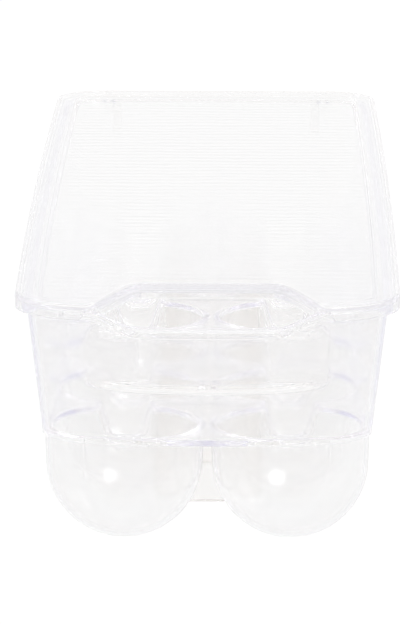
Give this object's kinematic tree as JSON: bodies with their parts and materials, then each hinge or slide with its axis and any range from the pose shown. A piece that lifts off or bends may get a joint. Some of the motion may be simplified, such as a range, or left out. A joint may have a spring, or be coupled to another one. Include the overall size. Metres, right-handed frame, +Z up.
{
  "type": "egg keeper with flip lid",
  "caption": "Clear plastic egg keeper: a long tray of round egg cups in two columns under a clear hinged flip lid with a finger notch at the front.",
  "frame": {"origin": "middle of the footprint, on the plane that the egg cups stand on", "axes": "+Z up; the finger notch faces -Y, the hinge is at +Y, and X runs across the two columns of cups"},
  "size_m": [0.1124, 0.363, 0.0742],
  "materials": {
    "clear_tray": "polished clear moulding",
    "clear_lid": "polished clear moulding, with a faintly ribbed panel"
  },
  "bodies": {
    "tray": {"front_wall": "clear_tray", "rear_wall": "clear_tray", "left_wall": "clear_tray", "right_wall": "clear_tray", "left_hinge_ear": "clear_tray", "right_hinge_ear": "clear_tray", "egg_cup_left_1": "clear_tray", "egg_cup_left_2": "clear_tray", "egg_cup_left_3": "clear_tray", "egg_cup_left_4": "clear_tray", "egg_cup_left_5": "clear_tray", "egg_cup_left_6": "clear_tray", "egg_cup_left_7": "clear_tray", "egg_cup_right_1": "clear_tray", "egg_cup_right_2": "clear_tray", "egg_cup_right_3": "clear_tray", "egg_cup_right_4": "clear_tray", "egg_cup_right_5": "clear_tray", "egg_cup_right_6": "clear_tray", "egg_cup_right_7": "clear_tray", "row_web_1": "clear_tray", "row_web_2": "clear_tray", "row_web_3": "clear_tray", "row_web_4": "clear_tray", "row_web_5": "clear_tray", "row_web_6": "clear_tray"},
    "lid": {"lid_panel": "clear_lid", "lid_front_border": "clear_lid", "lid_rear_border": "clear_lid", "lid_left_border": "clear_lid", "lid_right_border": "clear_lid", "left_lid_arm": "clear_lid", "right_lid_arm": "clear_lid", "left_hinge_pin": "clear_lid", "right_hinge_pin": "clear_lid"}
  },
  "joints": [
    {"name": "lid_hinge", "type": "hinge", "parent": "tray", "child": "lid", "pos_m": [0, 0.17695, 0.0659], "axis": [-1, 0, 0], "range_deg": [0, 108]}
  ]
}
